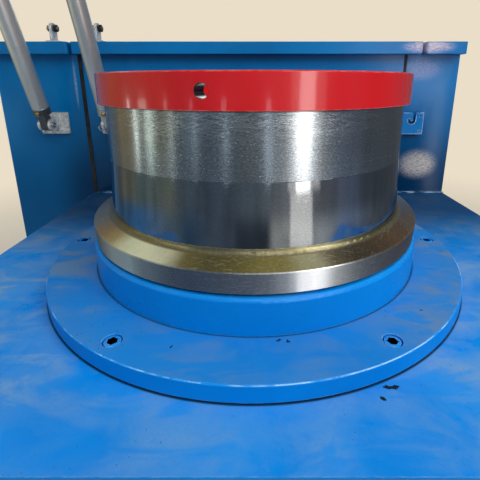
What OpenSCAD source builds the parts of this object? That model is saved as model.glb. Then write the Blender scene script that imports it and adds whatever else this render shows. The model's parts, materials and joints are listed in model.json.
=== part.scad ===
// One block station of a straight-line wire drawing machine.
// The origin is on the drum axis at floor level, +X runs along the wire line, +Y to the back.

/* [Bed] */
// Height of the deck's top face above the floor
deck_z = 720; // [600:10:900]
// Distance from the drum axis to the bed's left side
bed_left = 575; // [540:5:620]
// Distance from the drum axis to the bed's right side
bed_right = 650; // [620:5:720]
// Distance from the drum axis to the bed's front face
bed_front = 500; // [450:5:600]
// Thickness of the deck plate
deck_t = 15; // [10:1:25]
// Thickness of the bed's panels
bed_panel_t = 10; // [6:1:16]
// Thickness of the base plates on the floor
base_t = 15; // [10:1:25]
// Width of the hand opening in the bed's front
access_w = 520; // [400:10:640]
// Height of the hand opening in the bed's front
access_h = 360; // [260:10:420]
// Overlap of the cover around the hand opening
access_lap = 30; // [20:1:40]
// Thickness of the screwed covers
cover_t = 3; // [2:0.5:5]
// Corner radius of the screwed covers
cover_corner = 20; // [8:1:30]

/* [Anchors] */
// Length of an anchor lug away from the housing
lug_out = 60; // [50:1:80]
// Width of an anchor lug
lug_w = 100; // [80:1:140]
// Thickness of an anchor lug
lug_t = 15; // [10:1:20]
// Distance from the housing to the centre of an anchor hole
lug_hole_out = 35; // [28:1:40]
// Diameter of an anchor hole
anchor_d = 22; // [14:1:26]
// Height of the gussets on an anchor lug
gusset_h = 60; // [40:1:90]
// Thickness of the gussets on an anchor lug
gusset_t = 8; // [6:1:12]
// Distance from the bed's front to the front anchor holes
anchor_front = 80; // [60:5:160]
// Distance from the wall to the back anchor holes of the bed
anchor_back = 92; // [60:4:160]
// Distance from the cabinet's ends to its anchor holes
anchor_end = 140; // [80:5:240]

/* [Rear wall] */
// Distance from the drum axis to the wall's front face
wall_y = 465; // [440:2:540]
// Height of the rail's top above the deck
wall_h = 495; // [440:1:560]
// Thickness of the wall's sheet
wall_t = 4; // [2:0.5:6]
// Length of the wall past the bed's left side
wing_len = 270; // [240:5:320]
// Depth of the cabinet behind the wall
cabinet_depth = 320; // [260:10:400]
// Width of the left seam between two wall panels
left_seam = 12; // [8:1:16]
// Width of the right seam between two wall panels
right_seam = 8; // [6:1:12]
// Distance from the drum axis to the middle of the right seam
right_seam_x = 477; // [440:1:490]
// Depth of the folded foot of the wall on the deck
foot_depth = 12; // [8:1:20]
// Distance of the rubber seals in front of the wall
seal_proud = 1.5; // [0.5:0.5:4]

/* [Rails] */
// Height of the top rail
rail_h = 36; // [28:1:44]
// Depth of the top rail in front of the wall
rail_depth = 40; // [30:1:50]
// Thickness of the rail's sheet
rail_t = 3; // [2:0.5:5]
// Radius of the rail's front corners
rail_corner = 8; // [4:1:12]
// Gap between two rails
rail_gap = 10; // [6:1:16]
// Distance from the drum axis to the middle of the left rail gap
rail_left_x = 581; // [556:1:600]
// Distance from the drum axis to the middle of the right rail gap
rail_right_x = 518; // [505:1:540]

/* [Cabinet back] */
// Width of an opening in the cabinet's back
back_open_w = 560; // [400:10:600]
// Height of an opening in the cabinet's back
back_open_h = 820; // [600:10:860]
// Height of the openings' lower edge above the floor
back_open_z = 200; // [140:10:240]
// Distance between the two openings
back_open_gap = 110; // [90:5:140]
// Overlap of a cover around its opening
back_lap = 25; // [15:1:40]
// Number of vent slots in a cover
vent_count = 6; // [3:1:9]
// Length of a vent slot
vent_w = 260; // [160:10:340]
// Height of a vent slot
vent_h = 10; // [8:1:14]
// Distance from one vent slot to the next
vent_pitch = 28; // [24:1:36]

/* [Mounting plate] */
// Diameter of the round mounting plate
plate_d = 834; // [812:2:860]
// Thickness of the mounting plate
plate_t = 28; // [24:1:40]
// Chamfer along the plate's top edge
plate_chamfer = 2; // [1:0.5:4]
// Height and depth of the undercut along the plate's bottom edge
plate_undercut = 2; // [1:0.5:4]
// Pitch circle of the plate's screws
screw_pcd = 780; // [760:2:784]
// Number of screws in the plate
screw_count = 6; // [4:1:8]
// Diameter of the screws' counterbores
screw_head_d = 28; // [26:1:28]
// Depth of the counterbores
screw_head_h = 17; // [14:1:20]
// Diameter of the screws' clearance holes
screw_hole_d = 17.5; // [16.5:0.5:19]
// Diameter of the tapped holes in the deck
screw_core_d = 14; // [12:0.5:15]

/* [Bearing ring] */
// How far the fixed ring stands out past the drum's flange
ring_lip = 2.5; // [0:0.5:10]
// Height of the fixed ring
ring_h = 58.5; // [50:0.5:80]
// Wall of the fixed ring
ring_wall = 28; // [20:1:40]
// Thickness of the fixed ring's floor
ring_floor = 18; // [12:1:30]
// Radius along the fixed ring's top edge
ring_round = 6; // [3:0.5:9]
// Running gap between the fixed ring and the drum
running_gap = 5; // [5:0.5:10]

/* [Drum] */
// Diameter of the drum's upper band
drum_d = 574.5; // [560:0.5:600]
// How far the polished lower band flares out at its foot
foot_flare = 4.7; // [0:0.1:8]
// Height of the polished lower band
working_h = 96.5; // [70:0.5:120]
// Height of the turned upper band
upper_h = 97; // [70:0.5:120]
// Radial thickness of the drum's bands
band_t = 24; // [16:1:30]
// Thickness of the drum's inner shell
shell_t = 20; // [14:1:30]
// How far the flange stands out past the drum's foot
flange_out = 35.5; // [24:0.5:50]
// How much smaller the flange is at its lower edge
rim_taper = 4; // [0:1:12]
// Height of the flange's rim
rim_h = 33.5; // [24:0.5:44]
// Slope of the flange's cone
cone_angle = 20.5; // [12:0.5:24]
// Radius in the root between the cone and the drum
root_r = 8.5; // [5:0.5:14]
// Chamfer on the edges of the drum
edge_chamfer = 1; // [0.5:0.5:2]
// Radial clearance of the drum's shrunk bands
band_fit = 0.05; // [0.05:0.05:0.2]

/* [Top ring] */
// How far the drum's top ring stands out past the working face
top_ring_lip = 10.7; // [8:0.1:25]
// Height of the top ring
top_ring_h = 51; // [36:0.5:60]
// Chamfer along the top ring's upper edge
top_ring_chamfer = 1.5; // [1:0.5:3]
// Diameter of the hole for the turning bar
bar_hole_d = 20; // [16:1:24]
// Angle of the turning bar's hole to the left of the front
bar_hole_angle = 12.5; // [0:0.5:40]

/* [Drum top and spindle] */
// Thickness of the drum's top plate
web_t = 20; // [14:1:26]
// Depth of the top plate below the drum's shell
web_depth = 6; // [4:1:12]
// Diameter of the hub under the top plate
hub_d = 220; // [180:2:260]
// Height of the hub under the top plate
hub_h = 50; // [40:1:60]
// Number of lightening holes in the top plate
web_hole_count = 4; // [3:1:6]
// Diameter of a lightening hole
web_hole_d = 56; // [40:1:70]
// Pitch circle of the lightening holes
web_hole_pcd = 350; // [320:2:370]
// Diameter of the hub's cap
cap_d = 170; // [150:2:200]
// Height of the hub's cap
cap_h = 16; // [12:1:20]
// Core diameter of the lifting thread in the cap
lift_d = 21; // [14:0.5:26]
// Diameter of the spindle
spindle_d = 120; // [100:2:130]
// Length of the spindle below the deck
spindle_drop = 260; // [240:5:320]
// Running clearance around shafts, pins and rods
run_fit = 0.3; // [0.2:0.05:0.4]
// Outer diameter of the spindle's housing
housing_d = 300; // [260:2:320]
// Wall of the spindle's housing
housing_wall = 25; // [18:1:40]
// Height of a bearing seat at either end of the housing
bearing_h = 60; // [40:5:90]
// Gap between the housing and the drum's hub
housing_gap = 8; // [6:1:12]
// Length of the housing below the deck
housing_drop = 220; // [180:5:230]
// Diameter of the housing's flange under the deck
housing_flange_d = 380; // [350:2:420]
// Thickness of the housing's flange
housing_flange_t = 25; // [18:1:35]

/* [Lifting cylinders] */
// Distance from the drum axis to the nearer cylinder
cylinder_a_x = 473; // [430:2:500]
// Distance from the drum axis to the farther cylinder
cylinder_b_x = 674; // [630:2:720]
// Height of the cylinders' pins above the deck
pin_z = 243; // [200:2:270]
// Distance of the pins in front of the wall
pin_out = 56; // [52:1:70]
// Lean of the cylinders towards the front
cylinder_lean = 20.5; // [14:0.1:24]
// Diameter of a cylinder's tube
tube_d = 48; // [44:1:52]
// Wall of a cylinder's tube
tube_t = 4; // [3:0.5:5]
// Length of a cylinder's tube
tube_len = 360; // [320:5:420]
// Distance from the pin to the cylinder's lower cap
cap_start = 38; // [36:1:46]
// Height of a cylinder's end cap
end_cap_h = 20; // [16:1:30]
// How much an end cap is larger than the tube
end_cap_lip = 1; // [0.5:0.5:2]
// Width of the eye at the cylinder's foot
tang_w = 20; // [16:1:24]
// Radius of the eye at the cylinder's foot
tang_r = 16; // [14:1:18]
// Diameter of the pivot pins
pin_d = 16; // [12:1:18]
// Diameter of the pins' heads
pin_head_d = 24; // [20:1:28]
// Thickness of the pins' heads
pin_head_t = 5; // [3:1:8]
// Length of the pins past a bracket's outer ear
pin_tail = 6; // [4:1:10]
// Diameter of a piston rod
rod_d = 20; // [14:1:22]
// Free length of a piston rod when drawn in
rod_free = 28; // [22:1:40]
// Height of a piston
piston_h = 24; // [16:1:30]
// Distance from the tube's lower end to the piston when drawn in
piston_rest = 12; // [6:1:20]
// Length of the rod end from the rod to its eye
rod_eye_len = 34; // [30:1:44]
// How much the rod end's neck is larger than the rod, in radius
rod_neck_lip = 3; // [2:0.5:5]
// Outer radius of the rod end's eye
rod_eye_r = 18; // [16:1:22]
// Width of the rod end's eye
rod_eye_w = 18; // [14:1:22]
// Hole in the rod end's eye
rod_eye_d = 16; // [12:1:18]

/* [Brackets] */
// Width of a cylinder bracket's base
bracket_w = 92; // [80:1:104]
// Height of a cylinder bracket's base
bracket_h = 70; // [64:1:90]
// Thickness of a cylinder bracket's base
bracket_t = 8; // [6:1:12]
// Corner radius of a cylinder bracket's base
bracket_corner = 4; // [2:1:8]
// Thickness of a bracket's ears
ear_t = 8; // [6:1:10]
// Side gap between a bracket's ears and the cylinder's eye
ear_gap = 1.5; // [1:0.5:3]
// Radius of an ear's round end
ear_r = 18; // [16:1:20]
// Height of an ear where it meets the base
ear_root_h = 52; // [44:1:60]
// Width of the slotted bracket
slot_plate_w = 104; // [96:1:120]
// Distance from the drum axis to the slotted bracket's right edge
slot_plate_right = 547; // [530:1:570]
// Distance of the slotted bracket's face in front of the wall
slot_plate_out = 20; // [14:1:30]
// Thickness of the slotted bracket's sheet
slot_plate_t = 4; // [3:0.5:6]
// Width of the hooked slot
slot_w = 9.5; // [8:0.5:11]
// Distance from the bracket's right edge to the slot's straight leg
slot_from_right = 30; // [26:1:36]
// Radius of the slot's hook along its middle
hook_r = 8.5; // [8:0.5:13]
// Depth of the hook's centre below the bracket's top edge
hook_depth = 24; // [20:1:32]
// Diameter of the two spare holes in the slotted bracket
spare_hole_d = 7; // [5:0.5:9]
// Distance of the spare holes from the bracket's edges
spare_hole_edge = 10; // [9:1:14]

/* [Hinge lugs] */
// Distance from the drum axis to the nearer hinge lug
lug_a_x = 511; // [480:1:540]
// Distance from the drum axis to the farther hinge lug
lug_b_x = 653; // [620:1:680]
// Height of a hinge lug above the rail
hinge_h = 62; // [50:1:80]
// Width of a hinge lug's foot
hinge_foot_w = 40; // [34:1:50]
// Depth of a hinge lug
hinge_depth = 34; // [30:1:44]
// Thickness of a hinge lug's plate
hinge_t = 8; // [6:1:10]
// Diameter of the hole in a hinge lug
hinge_hole_d = 12; // [8:1:16]
// Distance of a hinge lug behind the wall's front face
hinge_back = 4; // [2:1:20]

/* [Hidden] */

blue = [0.06, 0.36, 0.72];
bright_blue = [0.02, 0.47, 0.85];
red = [0.74, 0.12, 0.15];
steel = [0.45, 0.47, 0.49];
zinc = [0.72, 0.73, 0.74];
rubber = [0.05, 0.05, 0.05];

fine = 180;
small = 48;
eps = 1;

// Bed
deck_under = deck_z - deck_t;
wall_back = wall_y + wall_t;
bed_inner_left = -bed_left + bed_panel_t;
bed_inner_right = bed_right - bed_panel_t;
access_mid_x = (bed_right - bed_left) / 2;
access_mid_z = (base_t + deck_under) / 2;

// Wall, rails and cabinet
wall_top = deck_z + wall_h;
sheet_top = wall_top - wall_t;
wall_left = -bed_left - wing_len;
rail_bottom = wall_top - rail_h;
rail_front = wall_y - rail_depth;
cabinet_back = wall_y + cabinet_depth;
main_left = -bed_left + left_seam;
main_right = right_seam_x - right_seam / 2;
cabinet_mid = (wall_left + bed_right) / 2;
back_step = back_open_w + back_open_gap;

// Drum, from its running gap upwards
drum_r = drum_d / 2;
foot_r = drum_r + foot_flare;
rim_r = foot_r + flange_out;
ring_r = rim_r + ring_lip;
plate_top = deck_z + plate_t;
ring_top = plate_top + ring_h;
flange_z = ring_top + running_gap;
corner_z = rim_h + (rim_r - foot_r) * tan(cone_angle);
root_len = root_r / tan((90 + cone_angle) / 2);
flange_h = corner_z + root_len;
working_z = flange_z + flange_h;
upper_z = working_z + working_h;
top_ring_z = upper_z + upper_h;
drum_top = top_ring_z + top_ring_h;
band_in = drum_r - band_t;
shell_out = band_in - band_fit;
shell_in = shell_out - shell_t;
web_top = top_ring_z - web_depth;
web_z = web_top - web_t;
hub_z = web_z - hub_h;
housing_top = hub_z - housing_gap;
spindle_r = spindle_d / 2;
housing_r = housing_d / 2;

// Lifting cylinders, measured along the cylinder from its pin
tube_start = cap_start + end_cap_h;
tube_end = tube_start + tube_len;
cap_end = tube_end + end_cap_h;
rod_tip = cap_end + rod_free;
tube_in = tube_d / 2 - tube_t;
rod_r = rod_d / 2;
pin_r = pin_d / 2;
pin_y = wall_y - pin_out;
pin_top = deck_z + pin_z;
ear_in = tang_w / 2 + ear_gap;
ear_out = ear_in + ear_t;
piston_start = tube_start + piston_rest;
cylinders = [cylinder_a_x, cylinder_b_x];

// Helpers
module block(low, high) {
    translate(low) cube(high - low);
}

// A flat outline with round corners, centred on the origin
module rounded(w, h, r) {
    square([w - 2 * r, h], center = true);
    square([w, h - 2 * r], center = true);
    for (x = [-1, 1], y = [-1, 1])
        translate([x * (w / 2 - r), y * (h / 2 - r)]) circle(r, $fn = small);
}

// A plate in the XZ plane, from y to y + t, centred on x and z
module upright(x, y, z, w, h, t, r) {
    translate([x, y + t, z]) rotate([90, 0, 0]) linear_extrude(t) rounded(w, h, r);
}

module turned() {
    rotate_extrude($fn = fine) children();
}

// Moves a piece from its pin's own frame onto the leaning cylinder
module leaning(x) {
    translate([-x, pin_y, pin_top]) rotate([cylinder_lean, 0, 0]) children();
}

// Bed
module bed_base_plate() {
    color(blue) block([-bed_left, -bed_front, 0], [bed_right, wall_back, base_t]);
}

module bed_front_panel() {
    color(blue) difference() {
        block([-bed_left, -bed_front, base_t], [bed_right, -bed_front + bed_panel_t, deck_under]);
        upright(access_mid_x, -bed_front - eps, access_mid_z, access_w, access_h,
            bed_panel_t + 2 * eps, cover_corner);
    }
}

module bed_side(x) {
    color(blue) block([x, -bed_front + bed_panel_t, base_t],
        [x + bed_panel_t, wall_back - bed_panel_t, deck_under]);
}

module bed_left_panel() {
    bed_side(-bed_left);
}

module bed_right_panel() {
    bed_side(bed_inner_right);
}

module bed_rear_panel() {
    color(blue) block([-bed_left, wall_back - bed_panel_t, base_t], [bed_right, wall_back, deck_under]);
}

module front_access_cover() {
    color(blue) upright(access_mid_x, -bed_front - cover_t, access_mid_z,
        access_w + 2 * access_lap, access_h + 2 * access_lap, cover_t, cover_corner);
}

// One lug that points along -X from a housing face at the origin
module anchor_lug() {
    difference() {
        block([-lug_out, -lug_w / 2, 0], [0, lug_w / 2, lug_t]);
        translate([-lug_hole_out, 0, -eps]) cylinder(h = lug_t + 2 * eps, d = anchor_d, $fn = small);
    }
    for (y = [-lug_w / 2, lug_w / 2 - gusset_t])
        translate([0, y + gusset_t, lug_t]) rotate([90, 0, 0])
            linear_extrude(gusset_t) polygon([[0, 0], [-lug_out, 0], [0, gusset_h]]);
}

module anchor_lugs() {
    color(blue) {
        for (y = [-bed_front + anchor_front, wall_y - anchor_back]) {
            translate([-bed_left, y, 0]) anchor_lug();
            translate([bed_right, y, 0]) rotate([0, 0, 180]) anchor_lug();
        }
        for (x = [wall_left + anchor_end, bed_right - anchor_end])
            translate([x, cabinet_back, 0]) rotate([0, 0, -90]) anchor_lug();
    }
}

module screw_holes(d, h) {
    for (i = [0 : screw_count - 1])
        rotate([0, 0, i * 360 / screw_count]) translate([screw_pcd / 2, 0, 0])
            cylinder(h = h, d = d, $fn = small);
}

module deck_plate() {
    color(blue) difference() {
        block([-bed_left, -bed_front, deck_under], [bed_right, wall_back, deck_z]);
        translate([0, 0, deck_under - eps])
            cylinder(h = deck_t + 2 * eps, d = housing_d + 2 * run_fit, $fn = fine);
        translate([0, 0, deck_under - eps]) screw_holes(screw_core_d, deck_t + 2 * eps);
    }
}

// Mounting plate and fixed ring
module mounting_plate() {
    r = plate_d / 2;
    c = plate_chamfer;
    u = plate_undercut;
    color(bright_blue) translate([0, 0, deck_z]) difference() {
        turned() polygon([[housing_r + run_fit, 0], [r - u, 0], [r - u, u], [r, u],
            [r, plate_t - c], [r - c, plate_t], [housing_r + run_fit, plate_t]]);
        translate([0, 0, -eps]) screw_holes(screw_hole_d, plate_t + 2 * eps);
        translate([0, 0, plate_t - screw_head_h]) screw_holes(screw_head_d, screw_head_h + eps);
    }
}

module bearing_ring() {
    wall_in = ring_r - ring_wall;
    color(bright_blue) translate([0, 0, plate_top]) turned() {
        translate([housing_r + run_fit, 0]) square([ring_r - housing_r - run_fit, ring_floor]);
        translate([wall_in, 0]) square([ring_wall, ring_h - ring_round]);
        translate([wall_in, 0]) square([ring_wall - ring_round, ring_h]);
        translate([ring_r - ring_round, ring_h - ring_round]) circle(ring_round, $fn = small);
    }
}

// A hollow housing with a bearing seat at either end and a flange under the deck
module spindle_housing() {
    bore_r = spindle_r + run_fit;
    low = deck_z - housing_drop;
    color(steel) turned() {
        translate([housing_r - housing_wall, low]) square([housing_wall, housing_top - low]);
        for (z = [low, housing_top - bearing_h])
            translate([bore_r, z]) square([housing_r - bore_r, bearing_h]);
        translate([housing_r - housing_wall, deck_under - housing_flange_t])
            square([housing_flange_d / 2 - housing_r + housing_wall, housing_flange_t]);
    }
}

// Rear wall, rails and seals
module wall_sheet(x1, x2, z1) {
    block([x1, wall_y, z1], [x2, wall_back, sheet_top]);
}

module wall_foot(x1, x2) {
    block([x1, wall_y - foot_depth, deck_z], [x2, wall_y, deck_z + wall_t]);
}

module rear_wall_panel() {
    color(blue) {
        wall_sheet(main_left, main_right, deck_z);
        wall_foot(main_left, main_right);
    }
}

module left_wall_panel() {
    color(blue) wall_sheet(wall_left, -bed_left, base_t);
}

module right_wall_panel() {
    color(blue) {
        wall_sheet(main_right + right_seam, bed_right, deck_z);
        wall_foot(main_right + right_seam, bed_right);
    }
}

// A folded rail between two places, open towards the wall
module rail(x1, x2) {
    mid = (x1 + x2) / 2;
    color(blue) translate([0, 0, rail_bottom]) difference() {
        linear_extrude(rail_h) difference() {
            translate([mid, wall_y]) rounded(x2 - x1, 2 * rail_depth, rail_corner);
            translate([x1 - eps, wall_y]) square([x2 - x1 + 2 * eps, rail_depth + eps]);
        }
        block([x1 + rail_t, rail_front + rail_t, rail_t], [x2 - rail_t, wall_y + eps, rail_h - rail_t]);
    }
}

module main_rail() {
    rail(-rail_left_x + rail_gap / 2, rail_right_x - rail_gap / 2);
}

module left_rail() {
    rail(wall_left, -rail_left_x - rail_gap / 2);
}

module right_rail() {
    rail(rail_right_x + rail_gap / 2, bed_right);
}

module panel_seals() {
    front = wall_y - seal_proud;
    color(rubber) {
        block([-bed_left, front, deck_z], [main_left, wall_back, rail_bottom]);
        block([main_right, front, deck_z], [main_right + right_seam, wall_back, rail_bottom]);
    }
}

// Cabinet behind the wall
module cabinet_base_plate() {
    color(blue) {
        block([wall_left, wall_back, 0], [bed_right, cabinet_back, base_t]);
        block([wall_left, wall_y, 0], [-bed_left, wall_back, base_t]);
    }
}

module cabinet_end(x) {
    color(blue) block([x, wall_back, base_t], [x + wall_t, cabinet_back, sheet_top]);
}

module cabinet_left_end() {
    cabinet_end(wall_left);
}

module cabinet_right_end() {
    cabinet_end(bed_right - wall_t);
}

module cabinet_rear_panel() {
    color(blue) difference() {
        block([wall_left + wall_t, cabinet_back - wall_t, base_t],
            [bed_right - wall_t, cabinet_back, sheet_top]);
        for (side = [-1, 1])
            block([cabinet_mid + side * back_step / 2 - back_open_w / 2, cabinet_back - 2 * wall_t, back_open_z],
                [cabinet_mid + side * back_step / 2 + back_open_w / 2, cabinet_back + eps,
                back_open_z + back_open_h]);
    }
}

module cabinet_top() {
    color(blue) block([wall_left, wall_y, sheet_top], [bed_right, cabinet_back, wall_top]);
}

module rear_covers() {
    top = back_open_z + back_open_h;
    color(blue) for (side = [-1, 1]) {
        mid = cabinet_mid + side * back_step / 2;
        difference() {
            upright(mid, cabinet_back, back_open_z + back_open_h / 2, back_open_w + 2 * back_lap,
                back_open_h + 2 * back_lap, cover_t, cover_corner / 2);
            for (i = [1 : vent_count])
                upright(mid, cabinet_back - eps, top - i * vent_pitch, vent_w, vent_h,
                    cover_t + 2 * eps, vent_h / 2.5);
        }
    }
}

// Brackets and pins on the wall
module ear() {
    difference() {
        union() {
            cylinder(h = ear_t, r = ear_r, $fn = small);
            linear_extrude(ear_t) polygon([[0, -ear_r], [pin_out - bracket_t, -ear_root_h / 2],
                [pin_out - bracket_t, ear_root_h / 2], [0, ear_r]]);
        }
        translate([0, 0, -eps]) cylinder(h = ear_t + 2 * eps, r = pin_r + run_fit, $fn = small);
    }
}

module cylinder_bracket(x) {
    color(zinc) {
        upright(-x, wall_y - bracket_t, pin_top, bracket_w, bracket_h, bracket_t,
            bracket_corner);
        for (start = [-ear_out, ear_in])
            translate([-x + start, pin_y, pin_top]) rotate([0, 90, 0]) rotate([0, 0, 90]) ear();
    }
}

module cylinder_bracket_a() {
    cylinder_bracket(cylinder_a_x);
}

module cylinder_bracket_b() {
    cylinder_bracket(cylinder_b_x);
}

module pivot_pins() {
    color(steel) for (x = cylinders)
        translate([-x, pin_y, pin_top]) rotate([0, 90, 0]) {
            translate([0, 0, -ear_out]) cylinder(h = 2 * ear_out + pin_tail, r = pin_r, $fn = small);
            translate([0, 0, -ear_out - pin_head_t]) cylinder(h = pin_head_t, d = pin_head_d, $fn = small);
        }
}

// The hooked slot, cut through a face at y
module hooked_slot(x, y, z) {
    translate([x, y + 2 * slot_plate_t, z]) rotate([90, 0, 0]) linear_extrude(3 * slot_plate_t) {
        translate([hook_r - slot_w / 2, 0]) square([slot_w, hook_depth + eps]);
        difference() {
            circle(hook_r + slot_w / 2, $fn = small);
            circle(hook_r - slot_w / 2, $fn = small);
            translate([-2 * hook_r, 0]) square([4 * hook_r, 2 * hook_r]);
        }
        translate([-hook_r, 0]) circle(slot_w / 2, $fn = small);
    }
}

module slotted_bracket() {
    face = wall_y - slot_plate_out;
    left = slot_plate_right - slot_plate_w;
    bottom = pin_top - bracket_h / 2;
    top = pin_top + bracket_h / 2;
    hole_x = slot_plate_right - spare_hole_edge;
    color(blue) difference() {
        block([left, face, bottom], [slot_plate_right, wall_y, top]);
        block([left + slot_plate_t, face + slot_plate_t, bottom - eps],
            [slot_plate_right - slot_plate_t, wall_y + eps, top + eps]);
        hooked_slot(slot_plate_right - slot_from_right - hook_r, face, top - hook_depth);
        for (z = [bottom + spare_hole_edge, top - spare_hole_edge])
            translate([hole_x, face - eps, z]) rotate([-90, 0, 0])
                cylinder(h = slot_plate_t + 2 * eps, d = spare_hole_d, $fn = small);
    }
}

module hinge_lug() {
    eye_z = hinge_h - hinge_depth / 2;
    difference() {
        union() {
            block([-hinge_foot_w / 2, 0, 0], [hinge_foot_w / 2, hinge_depth, hinge_t]);
            block([-hinge_t / 2, 0, hinge_t], [hinge_t / 2, hinge_depth, eye_z]);
            translate([-hinge_t / 2, hinge_depth / 2, eye_z]) rotate([0, 90, 0])
                cylinder(h = hinge_t, d = hinge_depth, $fn = small);
        }
        translate([-hinge_t, hinge_depth / 2, eye_z]) rotate([0, 90, 0])
            cylinder(h = 2 * hinge_t, d = hinge_hole_d, $fn = small);
    }
}

module hinge_lugs() {
    color(zinc) for (x = [lug_a_x, lug_b_x])
        translate([-x, wall_y + hinge_back, wall_top]) hinge_lug();
}

// Drum
module drum_shell() {
    color(steel) turned() translate([shell_in, flange_z]) square([shell_t, top_ring_z - flange_z]);
}

// A ring around the shell with a chamfer on its outer edges, flared out at its foot
module band(z, h, flare) {
    c = edge_chamfer / 2;
    low_r = drum_r + flare;
    color(steel) translate([0, 0, z]) turned() polygon([[band_in, 0], [low_r - c, 0], [low_r, c],
        [drum_r, h - c], [drum_r - c, h], [band_in, h]]);
}

module upper_band() {
    band(upper_z, upper_h, 0);
}

module working_band() {
    band(working_z, working_h, foot_flare);
}

// The flange: a rim, a cone and a hollow root that runs up into the drum's face
module drum_flange() {
    c = edge_chamfer;
    low_r = rim_r - rim_taper / 2;
    cone_x = root_len * cos(cone_angle);
    cone_z = root_len * sin(cone_angle);
    color(steel) translate([0, 0, flange_z]) turned() {
        polygon([[band_in, 0], [low_r - c, 0], [low_r, c], [rim_r, rim_h - c],
            [rim_r - c, rim_h + c * tan(cone_angle)], [foot_r, corner_z], [foot_r, flange_h],
            [band_in, flange_h]]);
        difference() {
            polygon([[foot_r - eps, corner_z - eps], [foot_r + cone_x, corner_z - cone_z],
                [foot_r, flange_h], [foot_r - eps, flange_h]]);
            translate([foot_r + root_r, flange_h]) circle(root_r, $fn = fine);
        }
    }
}

module red_ring() {
    r = drum_r + top_ring_lip;
    c = top_ring_chamfer;
    color(red) difference() {
        translate([0, 0, top_ring_z]) turned() polygon([[band_in, 0], [r - c / 2, 0], [r, c / 2],
            [r, top_ring_h - c], [r - c, top_ring_h], [band_in + c, top_ring_h], [band_in, top_ring_h - c]]);
        translate([0, 0, top_ring_z + top_ring_h / 2]) rotate([0, 0, -90 - bar_hole_angle])
            translate([band_in - 4 * eps, 0, 0]) rotate([0, 90, 0])
                cylinder(h = r - band_in + 8 * eps, d = bar_hole_d, $fn = small);
    }
}

module drum_top_plate() {
    bore_r = spindle_r + band_fit;
    color(steel) difference() {
        turned() {
            translate([bore_r, web_z]) square([shell_in - band_fit - bore_r, web_t]);
            translate([bore_r, hub_z]) square([hub_d / 2 - bore_r, hub_h + web_t]);
        }
        for (i = [0 : web_hole_count - 1])
            rotate([0, 0, (i + 0.5) * 360 / web_hole_count]) translate([web_hole_pcd / 2, 0, web_z - eps])
                cylinder(h = web_t + 2 * eps, d = web_hole_d, $fn = small);
    }
}

module hub_cap() {
    c = 2 * edge_chamfer;
    color(steel) translate([0, 0, web_top]) turned() polygon([[lift_d / 2, 0], [cap_d / 2, 0],
        [cap_d / 2, cap_h - c], [cap_d / 2 - c, cap_h], [lift_d / 2, cap_h]]);
}

module spindle() {
    color(steel) translate([0, 0, deck_z - spindle_drop])
        cylinder(h = web_top - deck_z + spindle_drop, r = spindle_r, $fn = fine);
}

// Lifting cylinders
module cylinder_tube(x) {
    color(zinc) leaning(x) translate([0, 0, tube_start]) difference() {
        cylinder(h = tube_len, d = tube_d, $fn = small);
        translate([0, 0, -eps]) cylinder(h = tube_len + 2 * eps, r = tube_in, $fn = small);
    }
}

module tang() {
    rotate([0, 90, 0]) cylinder(h = tang_w, r = tang_r, center = true, $fn = small);
    block([-tang_w / 2, -tang_r, 0], [tang_w / 2, tang_r, cap_start + eps]);
}

module cylinder_ends(x) {
    cap_d_out = tube_d + 2 * end_cap_lip;
    color(steel) leaning(x) {
        difference() {
            union() {
                tang();
                translate([0, 0, cap_start]) cylinder(h = end_cap_h, d = cap_d_out, $fn = small);
            }
            rotate([0, 90, 0])
                cylinder(h = tang_w + 2 * eps, r = pin_r + run_fit, center = true, $fn = small);
        }
        translate([0, 0, tube_end]) difference() {
            cylinder(h = end_cap_h, d = cap_d_out, $fn = small);
            translate([0, 0, -eps]) cylinder(h = end_cap_h + 2 * eps, r = rod_r + run_fit, $fn = small);
        }
    }
}

module piston_rod(x) {
    color(zinc) leaning(x) {
        translate([0, 0, piston_start]) cylinder(h = rod_tip - piston_start, r = rod_r, $fn = small);
        translate([0, 0, piston_start]) cylinder(h = piston_h, r = tube_in - run_fit, $fn = small);
    }
}

module rod_eye(x) {
    eye_z = rod_tip + rod_eye_len;
    color(steel) leaning(x) difference() {
        union() {
            translate([0, 0, rod_tip])
                cylinder(h = rod_eye_len - rod_eye_d / 2 - eps, r = rod_r + rod_neck_lip, $fn = small);
            translate([0, 0, eye_z]) rotate([0, 90, 0])
                cylinder(h = rod_eye_w, r = rod_eye_r, center = true, $fn = small);
        }
        translate([0, 0, eye_z]) rotate([0, 90, 0])
            cylinder(h = 2 * rod_eye_r, d = rod_eye_d, center = true, $fn = small);
    }
}

module cylinder_tube_a() {
    cylinder_tube(cylinder_a_x);
}

module cylinder_ends_a() {
    cylinder_ends(cylinder_a_x);
}

module piston_rod_a() {
    piston_rod(cylinder_a_x);
}

module rod_eye_a() {
    rod_eye(cylinder_a_x);
}

module cylinder_tube_b() {
    cylinder_tube(cylinder_b_x);
}

module cylinder_ends_b() {
    cylinder_ends(cylinder_b_x);
}

module piston_rod_b() {
    piston_rod(cylinder_b_x);
}

module rod_eye_b() {
    rod_eye(cylinder_b_x);
}

bed_base_plate();
bed_front_panel();
bed_left_panel();
bed_right_panel();
bed_rear_panel();
front_access_cover();
anchor_lugs();
deck_plate();
mounting_plate();
bearing_ring();
spindle_housing();
rear_wall_panel();
left_wall_panel();
right_wall_panel();
main_rail();
left_rail();
right_rail();
panel_seals();
cabinet_base_plate();
cabinet_left_end();
cabinet_right_end();
cabinet_rear_panel();
cabinet_top();
rear_covers();
cylinder_bracket_a();
cylinder_bracket_b();
pivot_pins();
slotted_bracket();
hinge_lugs();
drum_shell();
upper_band();
working_band();
drum_flange();
red_ring();
drum_top_plate();
hub_cap();
spindle();
cylinder_tube_a();
cylinder_ends_a();
piston_rod_a();
rod_eye_a();
cylinder_tube_b();
cylinder_ends_b();
piston_rod_b();
rod_eye_b();
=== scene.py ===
import json
import math

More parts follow.
